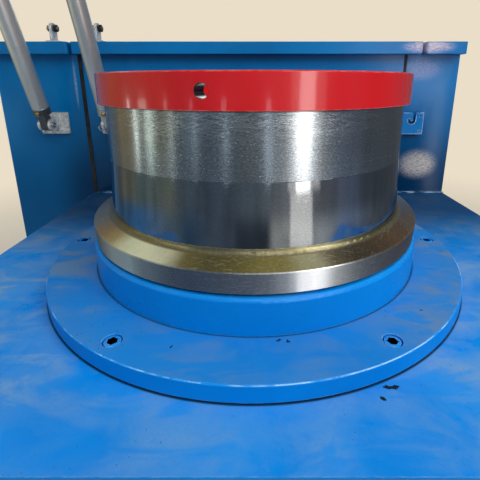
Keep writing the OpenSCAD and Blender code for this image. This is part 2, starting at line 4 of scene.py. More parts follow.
import bmesh
import bpy
from mathutils import Matrix, Vector

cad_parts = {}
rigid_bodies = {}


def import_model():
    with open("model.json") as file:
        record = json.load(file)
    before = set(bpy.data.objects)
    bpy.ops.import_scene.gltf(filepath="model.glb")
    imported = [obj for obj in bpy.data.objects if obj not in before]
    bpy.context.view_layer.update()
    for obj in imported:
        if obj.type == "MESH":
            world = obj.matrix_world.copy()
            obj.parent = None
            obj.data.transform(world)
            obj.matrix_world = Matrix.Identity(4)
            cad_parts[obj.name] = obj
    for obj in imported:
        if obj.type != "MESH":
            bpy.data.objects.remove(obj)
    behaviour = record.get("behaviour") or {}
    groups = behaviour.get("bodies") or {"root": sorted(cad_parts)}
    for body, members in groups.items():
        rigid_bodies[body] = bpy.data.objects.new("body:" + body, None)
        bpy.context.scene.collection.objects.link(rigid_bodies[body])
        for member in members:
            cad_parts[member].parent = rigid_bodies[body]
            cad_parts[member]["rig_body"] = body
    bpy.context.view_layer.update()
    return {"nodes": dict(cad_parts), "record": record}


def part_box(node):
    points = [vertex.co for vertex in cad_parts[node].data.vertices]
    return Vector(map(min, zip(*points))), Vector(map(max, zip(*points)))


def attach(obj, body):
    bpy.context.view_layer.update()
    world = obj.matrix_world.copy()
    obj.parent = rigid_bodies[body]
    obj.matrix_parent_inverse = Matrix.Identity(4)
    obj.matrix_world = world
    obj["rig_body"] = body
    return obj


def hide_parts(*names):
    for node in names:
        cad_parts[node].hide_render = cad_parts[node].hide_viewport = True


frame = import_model()
drawn = {}  # "tree" is the node tree that is being drawn


def tone(red, green, blue):  # a screen colour from 0 to 255, as Blender's linear colour
    def linear(value):
        value /= 255
        return value / 12.92 if value <= 0.04045 else ((value + 0.055) / 1.055) ** 2.4
    return linear(red), linear(green), linear(blue), 1.0


def feed(node, values):  # sets sockets by name, from a number, a colour or another node's output
    for name, value in values.items():
        socket = node.inputs[name]
        if isinstance(value, bpy.types.NodeSocket):
            drawn["tree"].links.new(value, socket)
        else:
            socket.default_value = value
    return node


def put(kind, values=None, **settings):
    node = drawn["tree"].nodes.new(kind)
    for name, value in settings.items():
        setattr(node, name, value)
    return feed(node, values or {})


def calc(operation, first, second=0.0, clamp=False):
    return put("ShaderNodeMath", {0: first, 1: second}, operation=operation, use_clamp=clamp).outputs[0]


def times(*values):  # the product of several masks
    product = values[0]
    for value in values[1:]:
        product = calc("MULTIPLY", product, value)
    return product


def more(first, second):
    return calc("ADD", first, second)


def less(first, second):
    return calc("SUBTRACT", first, second)


def near(value, middle, reach):  # 1 where the value lies close to the middle, 0 elsewhere
    return calc("LESS_THAN", calc("ABSOLUTE", less(value, middle)), reach)


def between(value, low, high):  # a straight rise from 0 to 1
    return put("ShaderNodeMapRange", {"Value": value, "From Min": low, "From Max": high}).outputs[0]


def ramp(value, low, high, toLow=0.0, toHigh=1.0):  # a smooth step between two levels
    return put("ShaderNodeMapRange", {"Value": value, "From Min": low, "From Max": high, "To Min": toLow,
                                      "To Max": toHigh}, interpolation_type="SMOOTHSTEP").outputs[0]


def noise(place, scale, detail=3.0, roughness=0.55, distortion=0.0):
    return put("ShaderNodeTexNoise", {"Vector": place, "Scale": scale, "Detail": detail, "Roughness": roughness,
                                      "Distortion": distortion}).outputs["Fac"]


def swirl(place, scale):  # noise in three ways at once
    return put("ShaderNodeTexNoise", {"Vector": place, "Scale": scale, "Detail": 3.0}).outputs["Color"]


def stretch(place, scale, turn=(0, 0, 0)):  # a pattern drawn out along one way
    return put("ShaderNodeMapping", {"Vector": place, "Scale": scale, "Rotation": turn}).outputs[0]


def combine(x, y, z=0.0):
    return put("ShaderNodeCombineXYZ", {0: x, 1: y, 2: z}).outputs[0]


def vectors(operation, first, second=(0, 0, 0), third=(0, 0, 0)):
    return put("ShaderNodeVectorMath", {0: first, 1: second, 2: third}, operation=operation).outputs


def blendTone(factor, first, second):
    return put("ShaderNodeMix", {0: factor, 6: first, 7: second}, data_type="RGBA").outputs[2]


def layered(colour, *layers):  # each layer is a mask, and the tone that shows where it is 1
    for mask, shade in layers:
        colour = blendTone(mask, colour, shade)
    return colour


def seenByRays():  # 1 for rays from the camera and in gloss
    rays = put("ShaderNodeLightPath").outputs
    return calc("MAXIMUM", rays["Is Camera Ray"], rays["Is Glossy Ray"])


def emptyTree(owner):
    owner.use_nodes = True
    drawn["tree"] = owner.node_tree
    owner.node_tree.nodes.clear()


def bumped(strength, distance, height):
    return put("ShaderNodeBump", {"Strength": strength, "Distance": distance, "Height": height}).outputs[0]


def objectPlace():
    return put("ShaderNodeTexCoord").outputs["Object"]


def placeParts():
    return put("ShaderNodeSeparateXYZ", {0: objectPlace()}).outputs


def facingUp():
    normal = put("ShaderNodeNewGeometry").outputs["Normal"]
    return put("ShaderNodeSeparateXYZ", {0: normal}).outputs["Z"]


def unrolled():  # a round surface laid flat: its place, the way round, and the radius
    x, y, z = placeParts()
    angle = calc("ARCTAN2", x, times(y, -1.0))  # the join lies at the back
    return x, y, z, angle, vectors("LENGTH", combine(x, y))["Value"]


def zonesRound(angle, tones):  # colours by degrees round the upright axis from the front
    zones = put("ShaderNodeValToRGB", {0: between(angle, -math.pi, math.pi)})
    stops = zones.color_ramp.elements
    for degrees, *shade in tones:
        stops.new(0.5 + degrees / 360).color = tone(*shade)
    stops[0].color, stops[len(stops) - 1].color = tone(*tones[0][1:]), tone(*tones[-1][1:])
    return zones.outputs[0]


cameraSettings = {
    "lens": 27.37,  # on a sensor 36 mm wide
    "place": (0.0114, -0.7686, 1.0934),
    "pitch": 74.57,  # degrees from straight down
    "shift": (-0.0432, -0.1182),
}


def setCamera(settings):
    data = bpy.data.cameras.new("photoCamera")
    data.lens = settings["lens"]
    data.sensor_width = 36
    data.sensor_fit = "HORIZONTAL"
    data.shift_x, data.shift_y = settings["shift"]
    data.clip_start = 0.02
    camera = bpy.data.objects.new("photoCamera", data)
    camera.location = settings["place"]
    camera.rotation_euler = (math.radians(settings["pitch"]), 0, 0)
    bpy.context.scene.collection.objects.link(camera)
    bpy.context.scene.camera = camera


lightSettings = {
    # name: power in watts, width, height, place, what it points at, colour, how it is seen
    "ceilingSoftbox": (52, 3.0, 2.2, (0.7, -1.2, 2.92), (0, 0, 0.9), (1.0, 0.985, 0.96), "both"),
    "rearSoftbox": (24, 2.4, 1.2, (-0.4, 2.7, 2.4), (0, 0.4, 0.7), (1.0, 0.99, 0.98), "both"),
    "leftFill": (4, 1.0, 1.0, (-2.2, -1.3, 2.2), (0, 0, 0.8), (0.95, 1.0, 0.98), "both"),
    "rightFill": (22, 1.0, 1.0, (1.9, -1.8, 2.2), (0, 0, 0.8), (0.97, 0.99, 1.0), "both"),
    "rightWindow": (7.4, 0.44, 1.1, (1.39, -2.175, 1.03), (0.19, -0.1, 0.95), (1.0, 0.97, 0.94), "gloss"),
    "windowGlow": (3.0, 1.02, 1.1, (1.43, -2.15, 1.03), (0.19, -0.1, 0.95), (1.0, 0.95, 0.9), "gloss"),
    "lowWindow": (1.1, 0.7, 0.44, (1.36, -2.2, 0.25), (0.19, -0.1, 0.95), (1.0, 0.96, 0.9), "gloss"),
    "coneGlint": (1.7, 0.45, 1.3, (-1.6, 1.05, 2.9), (-0.15, -0.27, 0.82), (1.0, 1.0, 0.9), "gloss"),
    "frontStrip": (0.5, 0.13, 0.38, (0.407, -2.568, 0.78), (0, 0, 0.9), (0.74, 0.86, 1.0), "gloss"),
    "frontLeftStrip": (0.42, 0.13, 0.38, (-0.803, -2.473, 0.78), (0, 0, 0.9), (0.8, 0.9, 1.0), "gloss"),
    "leftStrip": (0.2, 0.08, 0.38, (-1.636, -2.02, 0.78), (0, 0, 0.9), (0.82, 0.93, 1.0), "gloss"),
    "sideStrip": (0.34, 0.1, 0.38, (-2.155, -1.454, 0.78), (0, 0, 0.9), (0.94, 1.0, 0.95), "gloss"),
    "greenStrip": (1.15, 0.3, 0.38, (-2.5, -0.717, 0.78), (0, 0, 0.9), (0.86, 1.0, 0.89), "gloss"),
    "farSideStrip": (0.75, 0.11, 0.38, (-2.595, -0.136, 0.78), (0, 0, 0.9), (0.92, 1.0, 0.93), "gloss"),
}


def setLights(settings):
    for name, (power, width, height, place, target, colour, seen) in settings.items():
        data = bpy.data.lights.new(name, "AREA")
        data.shape = "RECTANGLE"
        data.size, data.size_y = width, height
        data.energy = power
        data.color = colour
        lamp = bpy.data.objects.new(name, data)
        lamp.location = place
        lamp.rotation_euler = (Vector(target) - Vector(place)).to_track_quat("-Z", "Y").to_euler()
        lamp.visible_diffuse = seen != "gloss"
        bpy.context.scene.collection.objects.link(lamp)


worldSettings = {
    "light": tone(236, 240, 246),
    "strength": 0.38,
    "background": tone(234, 222, 200),  # also the haze over the far floor
}


def setWorld(settings):  # rays that look at the world see the background, and the rest get its light
    world = bpy.data.worlds.new("paleStudio")
    bpy.context.scene.world = world
    emptyTree(world)
    seen = calc("MAXIMUM", seenByRays(), put("ShaderNodeLightPath").outputs["Is Transmission Ray"])
    lighting = put("ShaderNodeBackground", {"Color": settings["light"], "Strength": settings["strength"]})
    shown = put("ShaderNodeBackground", {"Color": settings["background"], "Strength": 1.0})
    mix = put("ShaderNodeMixShader", {0: seen, 1: lighting.outputs[0], 2: shown.outputs[0]})
    put("ShaderNodeOutputWorld", {"Surface": mix.outputs[0]})


setCamera(cameraSettings)
setLights(lightSettings)
setWorld(worldSettings)
bpy.context.scene.view_settings.view_transform = "Standard"
print("camera and light set")


def newGroup(name, draw, **numbers):
    group = bpy.data.node_groups.new(name, "ShaderNodeTree")
    drawn["tree"] = group
    for label, value in numbers.items():
        socket = group.interface.new_socket(label, in_out="INPUT", socket_type="NodeSocketFloat")
        socket.default_value = value
    results = draw(put("NodeGroupInput").outputs)
    for label in results:
        group.interface.new_socket(label, in_out="OUTPUT", socket_type="NodeSocketFloat")
    feed(put("NodeGroupOutput"), results)
    return group


def drawEdgeWear(given):  # bright where paint or steel is rubbed at an edge
    rounded = put("ShaderNodeBevel", {"Radius": given["Width"]}, samples=4).outputs[0]
    normal = put("ShaderNodeNewGeometry").outputs["Normal"]
    match = vectors("DOT_PRODUCT", rounded, normal)["Value"]
    bend = ramp(less(1.0, match), 0.01, 0.16)
    patchy = ramp(noise(objectPlace(), given["Scale"], 4.0, 0.65), 0.32, 0.6)
    return {"Mask": calc("MULTIPLY", times(bend, patchy), given["Amount"], True)}


def drawDustFilm(given):  # settles on what faces up
    facing = ramp(facingUp(), 0.75, 0.97)
    place = objectPlace()
    level = between(noise(place, given["Scale"], 5.0, 0.6, 0.4), given["Low"], given["High"])
    grain = ramp(noise(place, 260.0, 2.0), 0.25, 0.75, 0.75, 1.0)
    return {"Mask": times(level, grain, facing), "Facing": facing}


def drawSmears(given):  # wiped and handled patches
    strokes = stretch(objectPlace(), (1.0, 2.6, 1.0), (0.3, 0.2, 0.6))
    patch = noise(strokes, given["Scale"], 4.0, 0.55, 1.0)
    return {"Mask": between(patch, given["Low"], given["High"])}


def drawChips(given):  # small knocked-off flecks, in a few clusters
    place = objectPlace()
    warped = vectors("MULTIPLY_ADD", place, swirl(place, 90.0), (0.008, 0.008, 0.008))[0]
    cell = put("ShaderNodeTexVoronoi", {"Vector": place, "Scale": given["Scale"]})
    edge = calc("LESS_THAN", cell.outputs["Distance"], given["Size"])
    ragged = calc("GREATER_THAN", noise(warped, 700.0, 2.0), 0.42)
    cluster = calc("GREATER_THAN", noise(place, 7.0, 2.0), given["Spread"])
    return {"Mask": times(edge, ragged, cluster)}


def drawPeel(given):  # the skin of sprayed enamel
    place = objectPlace()
    fine = noise(place, given["Scale"], 1.5, 0.4)
    wide = noise(place, times(given["Scale"], 0.18), 1.0, 0.4)
    return {"Height": more(fine, times(wide, 1.6))}


def drawTurningLines(given):  # rings left by the lathe tool, in height and across flat faces
    x, y, z, angle, radius = unrolled()
    wander = given["Wander"]
    across = times(more(z, radius), given["Pitch"])
    around = combine(times(x, wander), times(y, wander), across)
    fine = noise(around, 1.0, 2.0, 0.7)
    broad = noise(vectors("MULTIPLY", around, (1.0, 1.0, 0.12))[0], 1.0, 3.0, 0.6)
    return {"Height": fine, "Shade": more(times(fine, 0.5), times(broad, 0.5))}


def drawScratchWeb(given):  # wire marks, crossing at small slopes
    z, angle = unrolled()[2:4]
    length = times(angle, 0.28)
    strongest = 0.0
    for way, shift in ((1.0, 0.0), (-1.0, 3.7), (0.25, 8.1)):
        tilted = more(z, times(length, given["Slope"], way))
        laid = combine(times(length, given["Long"]), times(tilted, given["Thin"]), shift)
        strongest = calc("MAXIMUM", strongest, noise(laid, 1.0, 2.0, 0.6))
    fade = ramp(noise(objectPlace(), 14.0, 2.0), 0.3, 0.62, 0.15, 1.0)
    line = calc("DIVIDE", less(strongest, given["Level"]), 0.06, True)
    return {"Mask": times(line, fade)}


def drawSpot(given):  # one ragged mark on a level face
    place = objectPlace()
    moved = vectors("MULTIPLY_ADD", swirl(place, 150.0), (0.012, 0.012, 0.0), place)[0]
    x, y, z = put("ShaderNodeSeparateXYZ", {0: moved}).outputs
    across = calc("DIVIDE", less(x, given["X"]), given["Long"])
    deep = calc("DIVIDE", less(y, given["Y"]), given["Wide"])
    apart = calc("SQRT", more(times(across, across), times(deep, deep)))
    return {"Mask": ramp(apart, 0.8, 1.0, 1.0, 0.0)}


def drawSpeckle(given):  # the fine sparkle of a turned or dull surface
    z, angle, radius = unrolled()[2:]
    laid = combine(times(angle, 0.29), times(z, given["Flat"]), radius)
    return {"Shade": noise(laid, given["Scale"], 2.0, 0.7)}


def drawSheenStreaks(given):  # soft bands that run up a turned surface, a painted sheen of reflections
    x, y, z = placeParts()
    return {"Shade": noise(combine(x, y, times(z, 0.12)), given["Scale"], 4.0, 0.6)}


effects = {
    "edgeWear": newGroup("edgeWear", drawEdgeWear, Width=0.0015, Amount=1.0, Scale=60.0),
    "dust": newGroup("dustFilm", drawDustFilm, Scale=9.0, Low=0.35, High=0.7),
    "smears": newGroup("smears", drawSmears, Scale=6.0, Low=0.48, High=0.56),
    "chips": newGroup("paintChips", drawChips, Scale=120.0, Size=0.16, Spread=0.55),
    "peel": newGroup("orangePeel", drawPeel, Scale=230.0),
    "turning": newGroup("turningLines", drawTurningLines, Pitch=900.0, Wander=3.0),
    "scratches": newGroup("scratchWeb", drawScratchWeb, Slope=0.3, Long=34.0, Thin=620.0, Level=0.56),
    "streaks": newGroup("paintedSheenStreaks", drawSheenStreaks, Scale=9.0),
    "spot": newGroup("spot", drawSpot, X=0.0, Y=0.0, Long=0.01, Wide=0.005),
    "speckle": newGroup("speckle", drawSpeckle, Scale=1500.0, Flat=2.5),
}


def effect(name, result, **values):
    return put("ShaderNodeGroup", values, node_tree=effects[name]).outputs[result]


def newMaterial(name):
    material = bpy.data.materials.new(name)
    material.use_nodes = True
    drawn["tree"] = material.node_tree
    return material, material.node_tree.nodes["Principled BSDF"]


enamelBase = {
    "dustLow": 0.62,  # where the noise turns to dust, and where it is full
    "dustHigh": 0.95,
    "smear": 0.3,
    "settled": 0.0,
    "shade": 0.0,
    "facing": 0.0,  # how much darker and greyer what faces up is painted, a painted shade
    "wear": 0.6,
    "wearWidth": 0.0015,
    "chip": 0.05,
    "peel": 0.05,
    "coat": 0.0,
}


def enamel(colour, deep, dust, worn, **changes):
    return {**enamelBase, "colour": tone(*colour), "deep": tone(*deep), "dust": tone(*dust),
            "worn": tone(*worn), **changes}


enamels = {
    # the wall and cabinet blue is painted darker than the deck and ring, a painted shade
    "shadedWallEnamel": enamel((0, 114, 180), (0, 102, 166), (70, 132, 178), (150, 184, 204), rough=0.24, peel=0.06,
                         specular=0.22, shade=0.9),
    "shadedRearWallEnamel": enamel((0, 116, 184), (0, 104, 170), (40, 124, 182), (150, 184, 204), rough=0.2, peel=0.09,
                             specular=0.2, shade=0.9),
    "deckEnamel": enamel((0, 136, 222), (0, 120, 206), (108, 150, 192), (150, 178, 200), dustLow=0.33, dustHigh=0.68,
                         rough=0.26, chip=0.07, specular=0.1, smear=0.6, shade=0.85, settled=0.4),
    "plateEnamel": enamel((0, 138, 226), (0, 126, 212), (98, 138, 180), (190, 208, 220), dustLow=0.36, dustHigh=0.62,
                          wear=0.95, rough=0.36, chip=0.1, specular=0.12, smear=0.75, shade=0.2, settled=0.5,
                          facing=0.24),
    "ringEnamel": enamel((0, 138, 226), (0, 126, 214), (70, 150, 210), (140, 180, 210), dustLow=0.45, dustHigh=0.9,
                         wear=0.5, rough=0.28, peel=0.06, chip=0.07, specular=0.2),
    # its near-white rubbed edges are a painted highlight along the edges as well as wear
    "bracketEnamel": enamel((0, 114, 186), (0, 104, 172), (50, 122, 176), (222, 234, 240), wear=1.0, wearWidth=0.004,
                            rough=0.3, peel=0.08, chip=0.08, specular=0.08),
    "redEnamel": enamel((204, 14, 22), (190, 12, 20), (216, 70, 66), (236, 200, 190), dustLow=0.7, dustHigh=1.0,
                        wear=0.7, rough=0.2, specular=0.3, coat=0.7, smear=0.2),
}
enamels["screwEnamel"] = {**enamels["plateEnamel"], "dustLow": 0.5, "dustHigh": 0.9, "wear": 1.0, "rough": 0.3,
                          "facing": 0.0}

shadeLook = {
    "foot": (0.74, 1.15),  # the painted shade on the wall is darkest just above the deck
    "below": (0.2, 0.6),
    "front": (0.44, 0.045),  # only on the front of the wall: its depth, and how far from it
    "clearer": (-0.74, -0.58),  # less of it at the far left
    "deckBack": (-0.05, 0.3),  # the deck from beside the drum to the wall
    # the tone of the painted shade
    "rearShadeTone": tone(0, 36, 70),
    "paintedTopShade": tone(40, 74, 118),
    "chipped": tone(26, 32, 42),
}
wallReflections = {
    # finish: middle in x and z, half width, half height, how much shows, and the tone of the painted reflection
    "shadedRearWallEnamel": [(0.55, 0.822, 0.08, 0.062, 0.8, tone(214, 206, 196)),
                       (0.53, 1.135, 0.085, 0.045, 0.3, tone(206, 186, 198)),
                       (-0.592, 1.09, 0.006, 0.1, 0.5, tone(160, 190, 206))],
    "shadedWallEnamel": [(0.53, 1.2, 0.1, 0.024, 0.85, tone(214, 196, 206))],
}
jointLook = {
    "plateFoot": (0.7202, 0.7224),  # the painted shadow line at the foot of the plate, in height
    "onDeck": (0.4172, 0.4204),  # and on the deck round it, in radius
    "ringFoot": (0.3305, 0.3345),  # on the plate round the fixed ring
    "plateEdge": (0.4155, 0.7464),
    "wallFoot": (0.7208, 0.7246),
    "wallFrom": -0.57,
    "highlightAndWear": tone(168, 214, 240),
    "paintedJointShadow": tone(4, 22, 42),
}
holeSettings = {
    "turned": 12.5,  # degrees to the left of the front
    "height": 1.0832,
    "radius": 0.01,
    "steel": tone(42, 32, 25),
}
spots = {
    # finish: where each mark lies, its length and width, in metres
    "deckEnamel": [(0.184, -0.384, 0.011, 0.004), (0.168, -0.401, 0.004, 0.003), (-0.395, -0.31, 0.006, 0.003)],
    "plateEnamel": [(-0.104, -0.343, 0.002, 0.003), (0.043, -0.331, 0.004, 0.0015), (0.056, -0.333, 0.002, 0.003),
                    (0.27, -0.262, 0.003, 0.002)],
}


def floorSplash():  # dried splashes low down on the cabinet
    height = placeParts()["Z"]
    drops = noise(stretch(objectPlace(), (1.0, 1.0, 0.5)), 26.0, 6.0, 0.68)
    return times(ramp(height, 0.02, 0.3, 0.8, 0.0), ramp(drops, 0.44, 0.62))


def settledDust(amount):  # more of it towards the sides, less in front where hands wipe
    side = calc("ABSOLUTE", placeParts()["X"])
    return ramp(side, 0.16, 0.36, 1.0 - amount, 1.0 + amount)


def rearPaintedShade(name, amount):  # painted shade that darkens the foot of the wall and the back of the deck
    x, y, z = placeParts()
    if name == "deckEnamel":
        return times(ramp(y, *shadeLook["deckBack"]), calc("GREATER_THAN", z, 0.69), amount)
    upright = times(ramp(z, *shadeLook["foot"], 1.0, 0.0), ramp(z, *shadeLook["below"]))
    across = ramp(x, *shadeLook["clearer"], 0.5, 1.0)
    return times(upright, across, near(y, *shadeLook["front"]), amount)


def jointMarks(name):  # painted shadow where round parts stand on each other, and a painted highlight along the wall's foot and the plate's worn top edge
    x, y, z, angle, radius = unrolled()
    broken = ramp(noise(objectPlace(), 22.0, 5.0, 0.65), 0.42, 0.6)
    if name == "deckEnamel":
        top = calc("GREATER_THAN", z, 0.715)
        return times(ramp(radius, *jointLook["onDeck"], 0.9, 0.0), top), 0.0
    if name == "shadedRearWallEnamel":
        low, high = jointLook["wallFoot"]
        line = times(calc("GREATER_THAN", z, low), calc("LESS_THAN", z, high))
        return 0.0, times(line, calc("GREATER_THAN", x, jointLook["wallFrom"]), broken, 0.45)
    top = calc("GREATER_THAN", z, 0.747)
    ringFoot = times(ramp(radius, *jointLook["ringFoot"], 0.75, 0.0), top)
    edge, high = jointLook["plateEdge"]
    line = times(calc("GREATER_THAN", radius, edge), calc("GREATER_THAN", z, high))
    foot = ramp(z, *jointLook["plateFoot"], 0.9, 0.0)
    return calc("MAXIMUM", foot, ringFoot), times(line, broken, 0.8)


def paintedReflectionMark(x, z, wide, high, amount):  # a rippled, speckled painted reflection on the face of the wall
    parts = placeParts()
    across = calc("DIVIDE", less(parts["X"], x), wide)
    up = calc("DIVIDE", less(parts["Z"], z), high)
    fade = ramp(more(times(across, across), times(up, up)), 0.0, 1.0, 1.0, 0.0)
    ripples = noise(stretch(objectPlace(), (0.4, 1.0, 1.8)), 260.0, 4.0, 0.62)
    broken = ramp(more(ripples, times(fade, 0.16)), 0.5, 0.72, 0.3, 1.0)
    return times(broken, fade, near(parts["Y"], 0.44, 0.04), amount)


def holeWall(look):  # bare steel inside the bar hole
    x, y, z = placeParts()
    turn = math.radians(look["turned"])
    beside = more(times(x, math.cos(turn)), times(y, -math.sin(turn)))
    above = less(z, look["height"])
    away = calc("SQRT", more(times(beside, beside), times(above, above)))
    return times(near(away, look["radius"], 0.0005), calc("LESS_THAN", y, -0.2))


def makeEnamel(name, look):
    material, surface = newMaterial(name)
    place = objectPlace()
    mottled = ramp(noise(place, 3.2, 4.0, 0.6), 0.3, 0.7)
    clean = blendTone(mottled, look["deep"], look["colour"])
    dust = effect("dust", "Mask", Low=look["dustLow"], High=look["dustHigh"])
    wiped = times(effect("smears", "Mask"), look["smear"])
    film = calc("MULTIPLY", dust, less(1.0, wiped), True)
    if name == "shadedWallEnamel":
        film = calc("MAXIMUM", film, floorSplash())
    if look["settled"]:
        film = calc("MULTIPLY", film, settledDust(look["settled"]), True)
    colour = blendTone(film, clean, look["dust"])
    # the faces that look up painted darker and greyer, a painted shade
    if look["facing"]:
        flat = times(effect("dust", "Facing"), look["facing"])
        colour = blendTone(flat, colour, shadeLook["paintedTopShade"])
    # painted shade at the foot of the wall and the back of the deck
    if look["shade"]:
        colour = blendTone(rearPaintedShade(name, look["shade"]), colour, shadeLook["rearShadeTone"])
    # painted shadow lines where parts meet, and painted highlights along edges, the plate's with wear
    if name in ("deckEnamel", "plateEnamel", "shadedRearWallEnamel"):
        paintedJointShadow, highlightAndWear = jointMarks(name)
        colour = layered(colour, (highlightAndWear, jointLook["highlightAndWear"]), (paintedJointShadow, jointLook["paintedJointShadow"]))
    worn = effect("edgeWear", "Mask", Amount=look["wear"], Width=look["wearWidth"])
    colour = blendTone(worn, colour, look["worn"])
    chips = effect("chips", "Mask", Size=look["chip"])
    for x, y, length, width in spots.get(name, []):
        chips = calc("MAXIMUM", chips, effect("spot", "Mask", X=x, Y=y, Long=length, Wide=width))
    colour = blendTone(chips, colour, shadeLook["chipped"])
    # painted reflections on the wall and rail
    for *mark, reflectionTone in wallReflections.get(name, []):
        colour = blendTone(paintedReflectionMark(*mark), colour, reflectionTone)
    coat = look["coat"]
    if name == "redEnamel":
        bare = holeWall(holeSettings)
        colour = blendTone(bare, colour, holeSettings["steel"])
        coat = ramp(bare, 0.0, 1.0, look["coat"], 0.0)
    spread = more(times(noise(place, 12.0, 4.0), 0.14), look["rough"] - 0.07)
    rough = calc("ADD", spread, times(film, 0.3), True)
    height = less(effect("peel", "Height"), chips)
    bump = bumped(look["peel"] * 4, 0.0006, height)
    feed(surface, {"Base Color": colour, "Roughness": rough, "Normal": bump,
                   "Specular IOR Level": look["specular"], "Coat Weight": coat, "Coat Roughness": 0.08})
    return material


metalBase = {
    "metallic": 1.0,
    "anisotropic": 0.0,
    "turn": 0.1,  # depth of the turning rings
    "pitch": 1400.0,
    "streak": 0.4,
    "speckle": 0.3,
    "grain": 0.1,
    "scratch": 0.1,
    "scratchFrom": 0.4,  # heights between which the scratches come in
    "scratchTo": 2.5,
}
# degrees round from the front, and the painted reflection tone there
polishedReflections = [(-150, 120, 130, 140), (-66, 84, 112, 134), (-52, 74, 100, 126), (-44, 86, 120, 152),
                 (-38, 98, 134, 168), (-31, 112, 130, 154), (-25, 121, 130, 140), (2, 120, 128, 136),
                 (9, 148, 148, 147), (22, 150, 150, 150), (30, 138, 152, 172), (40, 130, 137, 144),
                 (52, 116, 124, 132), (62, 84, 96, 110), (150, 120, 130, 140)]


def metal(dark, light, tint, **changes):
    return {**metalBase, "dark": tone(*dark), "light": tone(*light), "tint": tone(*tint), **changes}


metals = {
    "turnedBand": metal((112, 119, 126), (174, 180, 184), (140, 134, 116), rough=0.23, turn=0.3, pitch=900.0,
                        streak=0.55, anisotropic=0.8, speckle=0.4, scratch=0.6, scratchFrom=1.0, scratchTo=1.05,
                        grain=0.36, oil=(1.0545, 1.0572)),
    "polishedBand": metal((94, 103, 114), (148, 157, 166), (104, 116, 130), rough=0.07, turn=0.08, pitch=1500.0,
                          streak=0.7, anisotropic=0.2, speckle=0.1, scratch=0.2, scratchFrom=0.8, scratchTo=1.3,
                          grain=0.12, round=polishedReflections),
    "machinedCasting": metal((72, 74, 76), (120, 122, 124), (96, 96, 94), rough=0.45, turn=0.3, pitch=700.0,
                             streak=0.3, anisotropic=0.4, scratch=0.2, scratchTo=1.5, grain=0.25),
    "brightPin": metal((150, 152, 152), (208, 210, 208), (184, 182, 174), rough=0.25, pitch=1800.0, streak=0.3,
                       anisotropic=0.2, speckle=0.1, scratchTo=1.5, grain=0.0),
    "satinTube": metal((182, 182, 176), (224, 223, 216), (172, 168, 156), rough=0.38, metallic=0.75, turn=0.05),
    "capMetal": metal((66, 69, 72), (108, 111, 114), (80, 80, 82), rough=0.42, metallic=0.8, pitch=1300.0, streak=0.3,
                      scratch=0.15),
    "rodChrome": metal((160, 163, 166), (212, 215, 218), (188, 192, 196), rough=0.1, turn=0.03, pitch=2200.0,
                       speckle=0.05, scratch=0.08, grain=0.0),
    "brassBush": metal((150, 116, 52), (206, 170, 92), (120, 92, 48), rough=0.3, pitch=1600.0, speckle=0.2),
}
metalMarks = {
    "glint": tone(216, 218, 216),
    "pit": tone(50, 52, 54),
    "grainLight": tone(226, 228, 228),
    "grainDark": tone(44, 47, 52),
    "scratch": tone(206, 208, 206),
    "worn": tone(214, 216, 214),
    "oil": tone(26, 27, 30),  # painted shadow in a line under the red ring
}


def brushedGrain(across=240.0, up=520.0):  # short strokes of the grinder's belt, laid round the drum
    z, angle, radius = unrolled()[2:]
    laid = combine(times(angle, 0.29 * across), times(more(z, radius), up))
    return noise(laid, 1.0, 3.0, 0.72)


def makeSteel(name, look):
    material, surface = newMaterial(name)
    place = objectPlace()
    height, angle = unrolled()[2:4]
    # painted reflection streaks, mixed with the turning lines
    streak = ramp(effect("streaks", "Shade"), 0.34, 0.66)
    lines = effect("turning", "Shade", Pitch=look["pitch"])
    lit = more(times(streak, look["streak"]), times(lines, 1 - look["streak"]))
    colour = blendTone(lit, look["dark"], look["light"])
    # painted reflections laid round the band by degrees
    if "round" in look:
        colour = blendTone(0.75, colour, zonesRound(angle, look["round"]))
    sparkle, grain = effect("speckle", "Shade"), brushedGrain()
    scratch = times(effect("scratches", "Mask"), ramp(height, look["scratchFrom"], look["scratchTo"]))
    colour = layered(
        colour,
        (ramp(noise(place, 6.0, 5.0, 0.62, 0.6), 0.5, 0.72, 0.0, 0.55), look["tint"]),
        (ramp(sparkle, 0.56, 0.74, 0.0, look["speckle"]), metalMarks["glint"]),
        (ramp(sparkle, 0.26, 0.44, look["speckle"], 0.0), metalMarks["pit"]),
        (ramp(grain, 0.48, 0.76, 0.0, look["grain"]), metalMarks["grainLight"]),
        (ramp(grain, 0.26, 0.5, look["grain"], 0.0), metalMarks["grainDark"]),
        (times(scratch, look["scratch"]), metalMarks["scratch"]),
        (effect("edgeWear", "Mask", Width=0.0012, Amount=0.8), metalMarks["worn"]),
    )
    # a painted shadow line under the red ring
    if "oil" in look:
        colour = blendTone(ramp(height, *look["oil"], 0.0, 0.85), colour, metalMarks["oil"])
    rough = more(times(lines, 0.14), look["rough"] - 0.07)
    rough = calc("ADD", rough, times(less(grain, 0.5), look["grain"] * 0.5), True)
    depth = more(effect("turning", "Height", Pitch=look["pitch"]), times(scratch, -look["scratch"]))
    depth = more(depth, times(grain, look["grain"] * 1.4))
    bump = bumped(look["turn"], 0.0002, depth)
    feed(surface, {"Base Color": colour, "Roughness": rough, "Metallic": look["metallic"],
                   "Anisotropic": look["anisotropic"], "Anisotropic Rotation": 0.25, "Normal": bump})
    return material


